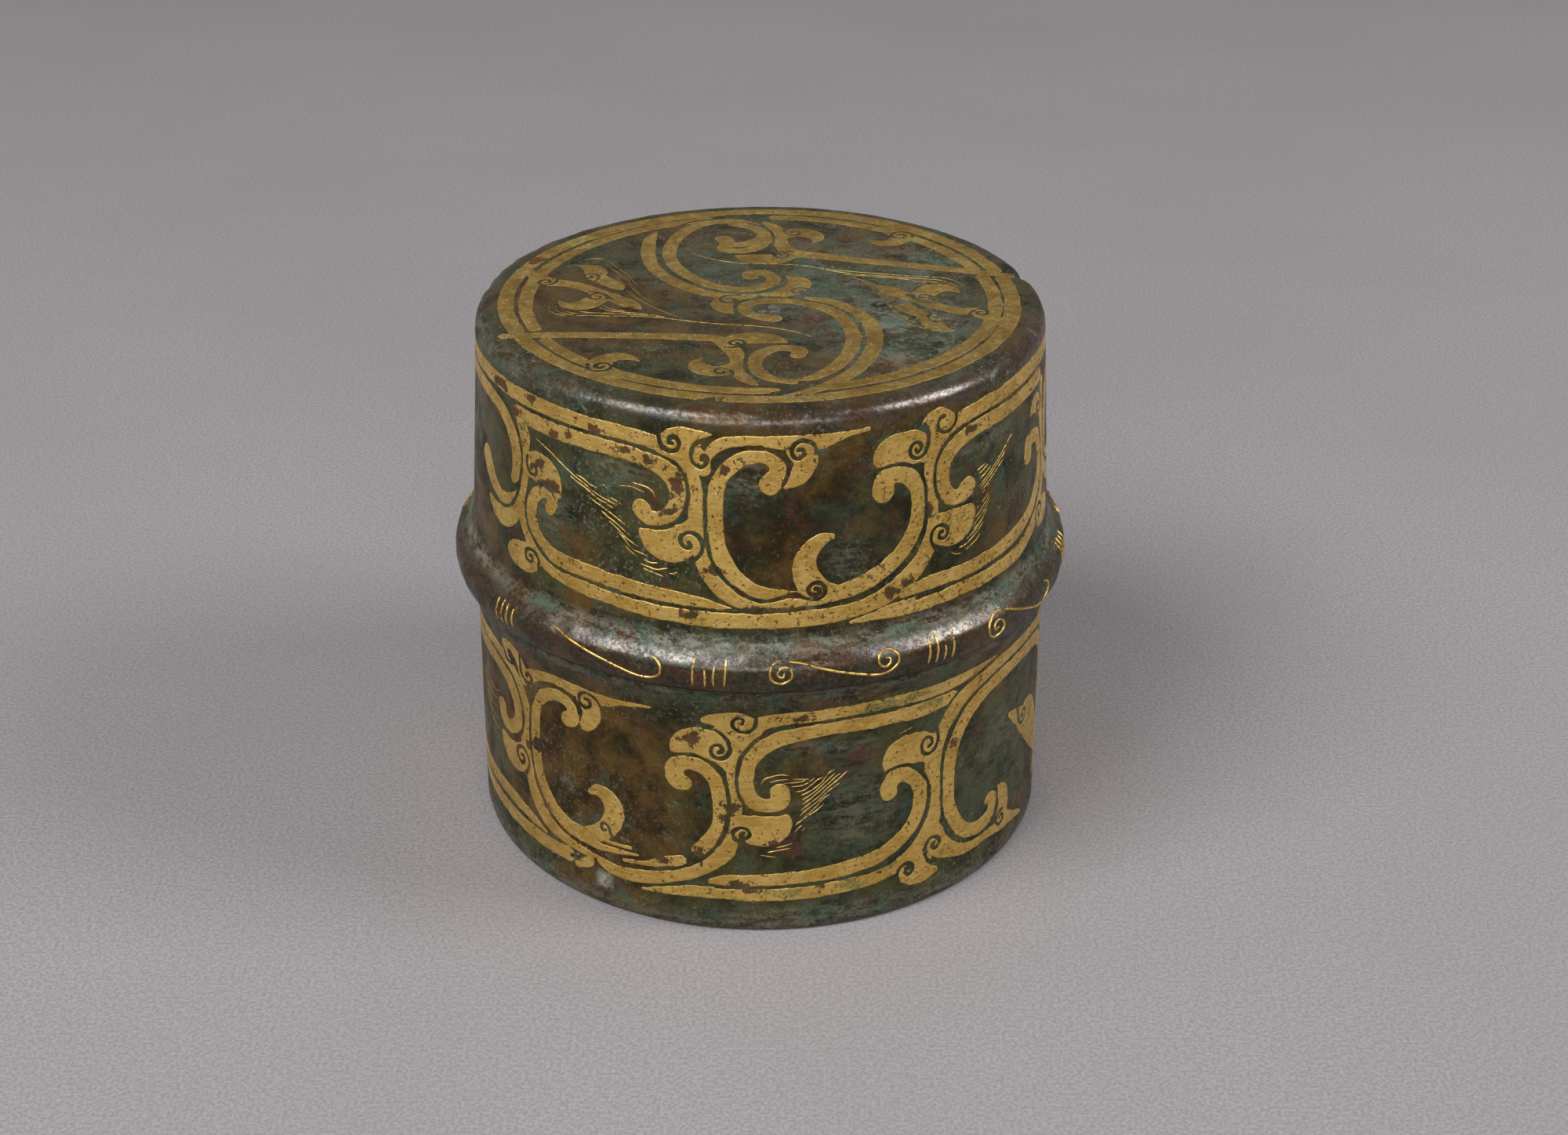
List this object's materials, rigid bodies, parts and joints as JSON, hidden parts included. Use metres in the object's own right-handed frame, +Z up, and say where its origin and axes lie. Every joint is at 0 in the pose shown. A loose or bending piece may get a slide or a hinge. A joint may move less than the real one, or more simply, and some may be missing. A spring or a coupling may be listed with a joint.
{
  "type": "round lidded box",
  "caption": "Small round lidded box with straight walls, a proud moulded ring at the lid's mouth and scrolling gold strips let into dark patinated bronze.",
  "frame": {"origin": "centre of the flat underside of the base", "axes": "+Z up through the lid, -Y towards the front of the picture, +X to its right"},
  "size_m": [0.0586, 0.0586, 0.0518],
  "materials": {
    "patinated_bronze": "cast bronze with a dark olive-brown patina, green and red corrosion and a dull sheen",
    "gold_inlay": "satin hammered gold sheet with worn edges and dark pits"
  },
  "bodies": {
    "body": {"box_body": "patinated_bronze", "gold_body_cap_arm_back": "gold_inlay", "gold_body_cap_arm_front": "gold_inlay", "gold_body_far_arm_back": "gold_inlay", "gold_body_far_arm_front": "gold_inlay", "gold_body_far_stem_back": "gold_inlay", "gold_body_far_stem_front": "gold_inlay", "gold_body_flag_back": "gold_inlay", "gold_body_flag_front": "gold_inlay", "gold_body_left_arm_back": "gold_inlay", "gold_body_left_arm_front": "gold_inlay", "gold_body_left_hook_back": "gold_inlay", "gold_body_left_hook_front": "gold_inlay", "gold_body_left_stem_back": "gold_inlay", "gold_body_left_stem_front": "gold_inlay", "gold_body_low_arm_back": "gold_inlay", "gold_body_low_arm_front": "gold_inlay", "gold_body_low_stem_back": "gold_inlay", "gold_body_low_stem_front": "gold_inlay", "gold_body_right_arm_back": "gold_inlay", "gold_body_right_arm_front": "gold_inlay", "gold_body_right_hook_back": "gold_inlay", "gold_body_right_hook_front": "gold_inlay", "gold_body_right_stem_back": "gold_inlay", "gold_body_right_stem_front": "gold_inlay"},
    "lid": {"box_lid": "patinated_bronze", "gold_lid_bowl_arm_back": "gold_inlay", "gold_lid_bowl_arm_front": "gold_inlay", "gold_lid_cap_band_back": "gold_inlay", "gold_lid_cap_band_front": "gold_inlay", "gold_lid_first_arm_back": "gold_inlay", "gold_lid_first_arm_front": "gold_inlay", "gold_lid_flag_back": "gold_inlay", "gold_lid_flag_front": "gold_inlay", "gold_lid_high_band_back": "gold_inlay", "gold_lid_high_band_front": "gold_inlay", "gold_lid_last_arm_back": "gold_inlay", "gold_lid_last_arm_front": "gold_inlay", "gold_lid_last_stem_back": "gold_inlay", "gold_lid_last_stem_front": "gold_inlay", "gold_lid_left_arm_back": "gold_inlay", "gold_lid_left_arm_front": "gold_inlay", "gold_lid_left_hook_back": "gold_inlay", "gold_lid_left_hook_front": "gold_inlay", "gold_lid_left_stem_back": "gold_inlay", "gold_lid_left_stem_front": "gold_inlay", "gold_lid_low_band_back": "gold_inlay", "gold_lid_low_band_front": "gold_inlay", "gold_lid_right_hook_back": "gold_inlay", "gold_lid_right_hook_front": "gold_inlay", "gold_top_border_and_bar_back": "gold_inlay", "gold_top_border_and_bar_front": "gold_inlay", "gold_top_inner_long_back": "gold_inlay", "gold_top_inner_long_front": "gold_inlay", "gold_top_inner_short_back": "gold_inlay", "gold_top_inner_short_front": "gold_inlay", "gold_top_s_scroll": "gold_inlay", "gold_top_scroll_loop_back": "gold_inlay", "gold_top_scroll_loop_front": "gold_inlay"}
  },
  "joints": [
    {"name": "lid_lift", "type": "slide", "parent": "body", "child": "lid", "axis": [0, 0, 1], "range_m": [0, 0.04]}
  ]
}
